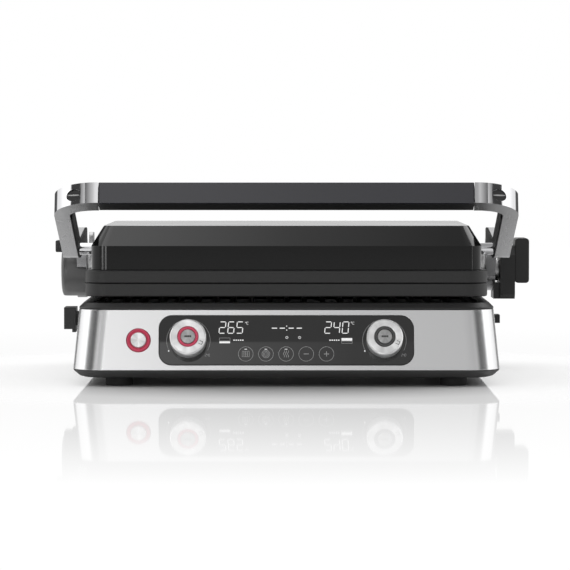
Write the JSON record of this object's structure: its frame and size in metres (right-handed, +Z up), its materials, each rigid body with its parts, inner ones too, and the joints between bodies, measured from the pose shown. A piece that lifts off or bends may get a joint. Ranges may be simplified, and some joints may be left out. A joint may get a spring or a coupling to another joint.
{
  "type": "panini press",
  "caption": "Contact grill with a slanted control panel, two knobs, a floating ribbed upper plate and a U-shaped handle on two rear hinges that folds right back.",
  "frame": {"origin": "middle of the footprint, on the surface it stands on", "axes": "+Z up, front towards -Y, +X to the right of someone facing the control panel"},
  "size_m": [0.4436, 0.3346, 0.1745],
  "materials": {
    "brushed_steel": "brushed",
    "satin_metal": "satin",
    "polished_metal": "polished",
    "black_plastic": "satin",
    "cover_black": "satin",
    "handle_black": "satin",
    "black_glass": "polished",
    "lit_red": "translucent",
    "dark_ring": "satin",
    "rubber": "matte",
    "cast_plate": "non-stick coated",
    "tinned_sheet": "plain sheet",
    "element_steel": "matte",
    "circuit_green": "lacquered"
  },
  "bodies": {
    "base": {"base_shell": "brushed_steel", "base_pan": "black_plastic", "base_top_frame": "black_plastic", "rear_cover": "black_plastic", "power_inlet_gland": "black_plastic", "control_glass": "black_glass", "panel_carrier": "black_plastic", "display_module": "black_plastic", "control_board": "circuit_green", "power_board": "circuit_green", "encoder_left": "tinned_sheet", "encoder_right": "tinned_sheet", "power_ring": "lit_red", "foot_front_left": "rubber", "foot_front_right": "rubber", "foot_rear_left": "rubber", "foot_rear_right": "rubber", "lower_cooking_plate": "cast_plate", "lower_reflector": "tinned_sheet", "lower_heating_element": "element_steel", "lower_temperature_sensor": "tinned_sheet", "hinge_pillar_left": "satin_metal", "hinge_pillar_right": "satin_metal", "hinge_pin_left": "satin_metal", "hinge_pin_right": "satin_metal"},
    "arms": {"handle_grip": "handle_black", "handle_underside": "handle_black", "arm_cap_left": "polished_metal", "arm_cap_right": "polished_metal", "cap_plug_left": "black_plastic", "cap_plug_right": "black_plastic", "arm_left": "satin_metal", "arm_right": "satin_metal", "arm_liner_left": "black_plastic", "arm_liner_right": "black_plastic", "hinge_cover_left": "black_plastic", "hinge_body_right": "black_plastic", "hinge_washer_right": "polished_metal", "pivot_shaft_left": "polished_metal", "pivot_shaft_right": "polished_metal"},
    "upper_housing": {"upper_cover": "cover_black", "upper_skirt": "black_plastic", "upper_frame": "black_plastic", "upper_cooking_plate": "cast_plate", "upper_reflector": "tinned_sheet", "upper_heating_element": "element_steel", "pivot_bracket_left": "satin_metal", "pivot_bracket_right": "satin_metal"},
    "left_knob": {"knob_left": "satin_metal", "knob_ring_left": "lit_red"},
    "right_knob": {"knob_right": "satin_metal", "knob_ring_right": "dark_ring"},
    "left_knob_button": {"knob_button_left": "satin_metal"},
    "right_knob_button": {"knob_button_right": "satin_metal"},
    "power_key": {"power_button": "satin_metal"},
    "lower_release": {"lower_release_lever": "black_plastic"},
    "upper_release": {"upper_release_lever": "black_plastic"},
    "height_lock": {"height_lock_slider": "black_plastic"},
    "hinge_release": {"hinge_release_button": "black_plastic"},
    "tray": {"drip_tray": "black_plastic"}
  },
  "joints": [
    {"name": "lid_open", "type": "hinge", "parent": "base", "child": "arms", "pos_m": [-0.00525, 0.14178, 0.089], "axis": [-1, 0, 0], "range_deg": [0, 180]},
    {"name": "plate_float", "type": "hinge", "parent": "arms", "child": "upper_housing", "pos_m": [-0.00525, -0.01342, 0.1138], "axis": [1, 0, 0], "range_deg": [-1.5, 1.5]},
    {"name": "left_knob_turn", "type": "hinge", "parent": "base", "child": "left_knob", "pos_m": [-0.08895, -0.14784, 0.03922], "axis": [0, -0.9588, 0.284], "range_deg": [0, 236]},
    {"name": "right_knob_turn", "type": "hinge", "parent": "base", "child": "right_knob", "pos_m": [0.07845, -0.14784, 0.03922], "axis": [0, -0.9588, 0.284], "range_deg": [0, 236]},
    {"name": "left_knob_press", "type": "slide", "parent": "left_knob", "child": "left_knob_button", "axis": [0, 0.9588, -0.284], "range_m": [0, 0.0015], "stiffness_N_per_m": 400, "springref_m": -0.003},
    {"name": "right_knob_press", "type": "slide", "parent": "right_knob", "child": "right_knob_button", "axis": [0, 0.9588, -0.284], "range_m": [0, 0.0015], "stiffness_N_per_m": 400, "springref_m": -0.003},
    {"name": "power_press", "type": "slide", "parent": "base", "child": "power_key", "axis": [0, 0.9588, -0.284], "range_m": [0, 0.0012], "stiffness_N_per_m": 400, "springref_m": -0.003},
    {"name": "lower_release_press", "type": "slide", "parent": "base", "child": "lower_release", "axis": [1, 0, 0], "range_m": [0, 0.003], "stiffness_N_per_m": 400, "springref_m": -0.003},
    {"name": "upper_release_press", "type": "slide", "parent": "upper_housing", "child": "upper_release", "axis": [1, 0, 0], "range_m": [0, 0.003], "stiffness_N_per_m": 400, "springref_m": -0.003},
    {"name": "height_lock_slide", "type": "slide", "parent": "arms", "child": "height_lock", "axis": [0, 0, 1], "range_m": [-0.01, 0]},
    {"name": "hinge_release_press", "type": "slide", "parent": "arms", "child": "hinge_release", "axis": [1, 0, 0], "range_m": [0, 0.004], "stiffness_N_per_m": 400, "springref_m": -0.003},
    {"name": "drip_tray_slide", "type": "slide", "parent": "base", "child": "tray", "axis": [1, 0, 0], "range_m": [0, 0.3]}
  ]
}
